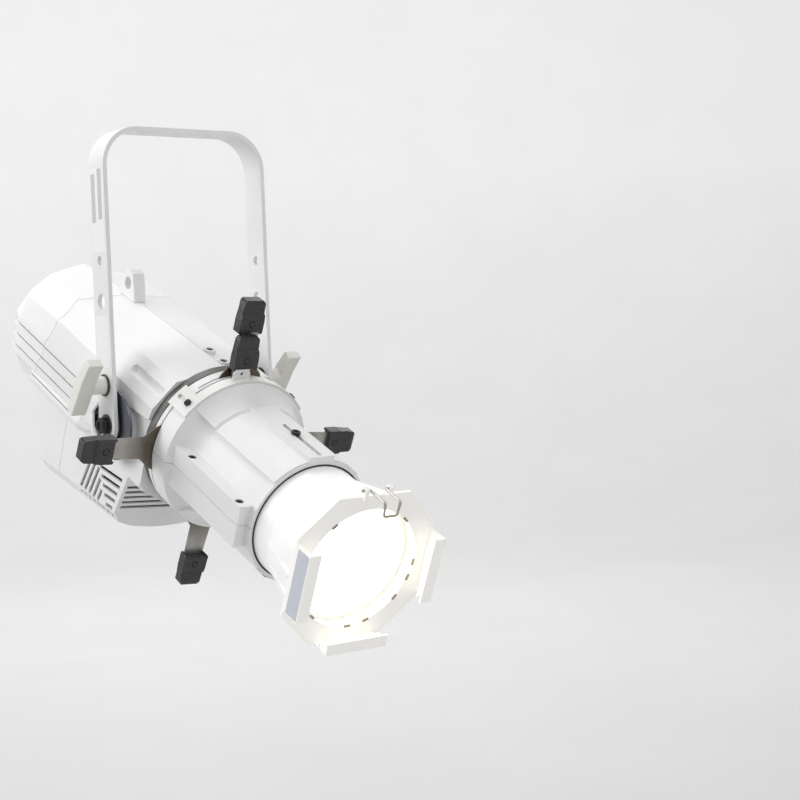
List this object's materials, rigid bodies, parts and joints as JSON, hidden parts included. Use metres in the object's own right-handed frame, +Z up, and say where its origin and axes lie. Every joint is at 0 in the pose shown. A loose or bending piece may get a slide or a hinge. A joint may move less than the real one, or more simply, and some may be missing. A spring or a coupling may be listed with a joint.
{
  "type": "ellipsoidal spotlight",
  "caption": "White ellipsoidal profile stage spotlight in a flat-bar yoke, with framing shutters, iris, rotating barrel, focusing lens tube and colour-frame holder.",
  "frame": {"origin": "centre of the clamp-bolt hole, on the upper face of the yoke's top bar", "axes": "+Z up along the clamp bolt, -Y towards the lens end (front), +X to the right seen from the front camera; lamp nose down 24.3 deg at rest"},
  "size_m": [0.3646, 0.7304, 0.5789],
  "materials": {
    "white_paint": "satin",
    "white_casting": "satin",
    "white_plastic": "satin",
    "black_plastic": "satin",
    "beige_plastic": "satin",
    "grey_metal": "satin",
    "black_aluminium": "satin",
    "blade_steel": "brushed",
    "bright_steel": "brushed",
    "black_steel": "satin",
    "raw_aluminium": "satin",
    "lens_glass": "gloss",
    "lit_lens_glass": "gloss",
    "led_yellow": "gloss",
    "board_green": "satin",
    "display_glass": "gloss",
    "rubber_pad": "matte"
  },
  "bodies": {
    "yoke": {"yoke": "white_paint", "arm_washers": "black_plastic", "friction_pads": "rubber_pad"},
    "lamp": {"housing_left_shell": "white_casting", "housing_right_shell": "white_casting", "rear_cover": "white_plastic", "electronics_front_cover": "white_plastic", "electronics_rear_cover": "white_plastic", "front_flange": "grey_metal", "tilt_discs": "bright_steel", "pivot_bolts": "black_steel", "safety_lug": "white_plastic", "housing_screws": "black_steel", "heat_sink": "raw_aluminium", "led_board": "white_plastic", "led_emitters": "led_yellow", "light_mixer": "raw_aluminium", "condenser_lens": "lens_glass", "lens_cell": "black_aluminium", "fan_frame": "black_plastic", "driver_board": "board_green", "power_supply": "raw_aluminium", "control_panel": "black_plastic", "display_window": "display_glass", "power_connectors": "black_plastic", "data_connectors": "grey_metal"},
    "fan": {"fan_rotor": "black_plastic"},
    "tilt_lock_left": {"tilt_lock_left": "beige_plastic"},
    "tilt_lock_right": {"tilt_lock_right": "beige_plastic"},
    "back_button": {"back_button": "beige_plastic"},
    "up_button": {"up_button": "beige_plastic"},
    "down_button": {"down_button": "beige_plastic"},
    "enter_button": {"enter_button": "beige_plastic"},
    "barrel": {"barrel_upper_shell": "white_casting", "barrel_lower_shell": "white_casting", "bearing_ring": "bright_steel", "gate_rear_plate": "bright_steel", "gate_front_plate": "bright_steel", "barrel_screws": "black_steel", "slot_cover_screws": "black_steel", "iris_plate": "bright_steel"},
    "slot_cover": {"slot_cover": "white_paint"},
    "iris": {"iris_lever": "bright_steel", "iris_handle": "black_plastic"},
    "lens_tube": {"lens_tube": "white_casting", "rear_lens": "lens_glass", "front_lens": "lit_lens_glass", "lens_retainers": "white_plastic", "gel_holder": "white_paint", "focus_guide_screw": "black_steel"},
    "focus_knob": {"focus_knob": "black_plastic"},
    "gel_clip": {"gel_clip": "bright_steel"},
    "shutter_bottom": {"shutter_blade_bottom": "blade_steel", "shutter_handle_bottom": "black_plastic"},
    "shutter_left": {"shutter_blade_left": "blade_steel", "shutter_handle_left": "black_plastic"},
    "shutter_right": {"shutter_blade_right": "blade_steel", "shutter_handle_right": "black_plastic"},
    "shutter_top": {"shutter_blade_top": "blade_steel", "shutter_handle_top": "black_plastic"}
  },
  "joints": [
    {"name": "tilt", "type": "hinge", "parent": "yoke", "child": "lamp", "pos_m": [0, 0, -0.344], "axis": [-1, 0, 0], "range_deg": [-90, 45]},
    {"name": "fan_spin", "type": "hinge", "parent": "lamp", "child": "fan", "pos_m": [0, 0.23292, -0.2317], "axis": [0, -0.9114, -0.4115], "continuous": true},
    {"name": "tilt_lock_left_turn", "type": "hinge", "parent": "yoke", "child": "tilt_lock_left", "pos_m": [-0.12, 0, -0.2975], "axis": [1, 0, 0], "range_deg": [-45, 45]},
    {"name": "tilt_lock_right_turn", "type": "hinge", "parent": "yoke", "child": "tilt_lock_right", "pos_m": [0.12, 0, -0.2975], "axis": [1, 0, 0], "range_deg": [-45, 45]},
    {"name": "back_button_press", "type": "slide", "parent": "lamp", "child": "back_button", "axis": [0, -1, 0], "range_m": [0, 0.001], "stiffness_N_per_m": 300, "springref_m": -0.001},
    {"name": "up_button_press", "type": "slide", "parent": "lamp", "child": "up_button", "axis": [0, -1, 0], "range_m": [0, 0.001], "stiffness_N_per_m": 300, "springref_m": -0.001},
    {"name": "down_button_press", "type": "slide", "parent": "lamp", "child": "down_button", "axis": [0, -1, 0], "range_m": [0, 0.001], "stiffness_N_per_m": 300, "springref_m": -0.001},
    {"name": "enter_button_press", "type": "slide", "parent": "lamp", "child": "enter_button", "axis": [0, -1, 0], "range_m": [0, 0.001], "stiffness_N_per_m": 300, "springref_m": -0.001},
    {"name": "barrel_turn", "type": "hinge", "parent": "lamp", "child": "barrel", "pos_m": [0, -0.06283, -0.36524], "axis": [0, -0.9114, -0.4115], "range_deg": [-25, 25]},
    {"name": "slot_cover_slide", "type": "slide", "parent": "barrel", "child": "slot_cover", "axis": [0, -0.9114, -0.4115], "range_m": [0, 0.012]},
    {"name": "shutter_bottom_slide", "type": "slide", "parent": "barrel", "child": "shutter_bottom", "axis": [0.0785, -0.4102, 0.9086], "range_m": [0, 0.044]},
    {"name": "shutter_left_slide", "type": "slide", "parent": "barrel", "child": "shutter_left", "axis": [0.999, 0.018, -0.0398], "range_m": [0, 0.044]},
    {"name": "shutter_right_slide", "type": "slide", "parent": "barrel", "child": "shutter_right", "axis": [-0.9994, -0.0144, 0.0318], "range_m": [0, 0.044]},
    {"name": "shutter_top_slide", "type": "slide", "parent": "barrel", "child": "shutter_top", "axis": [-0.0175, 0.4115, -0.9113], "range_m": [0, 0.044]},
    {"name": "iris_turn", "type": "hinge", "parent": "barrel", "child": "iris", "pos_m": [0, -0.08744, -0.37635], "axis": [0, -0.9114, -0.4115], "range_deg": [-18, 18]},
    {"name": "focus_slide", "type": "slide", "parent": "barrel", "child": "lens_tube", "axis": [0, -0.9114, -0.4115], "range_m": [-0.018, 0.044]},
    {"name": "focus_knob_turn", "type": "hinge", "parent": "lens_tube", "child": "focus_knob", "pos_m": [0, -0.16962, -0.50781], "axis": [0, 0.4115, -0.9114], "range_deg": [-180, 180]},
    {"name": "gel_clip_open", "type": "hinge", "parent": "lens_tube", "child": "gel_clip", "pos_m": [0, -0.37958, -0.40731], "axis": [-1, 0, 0], "range_deg": [0, 100]}
  ]
}
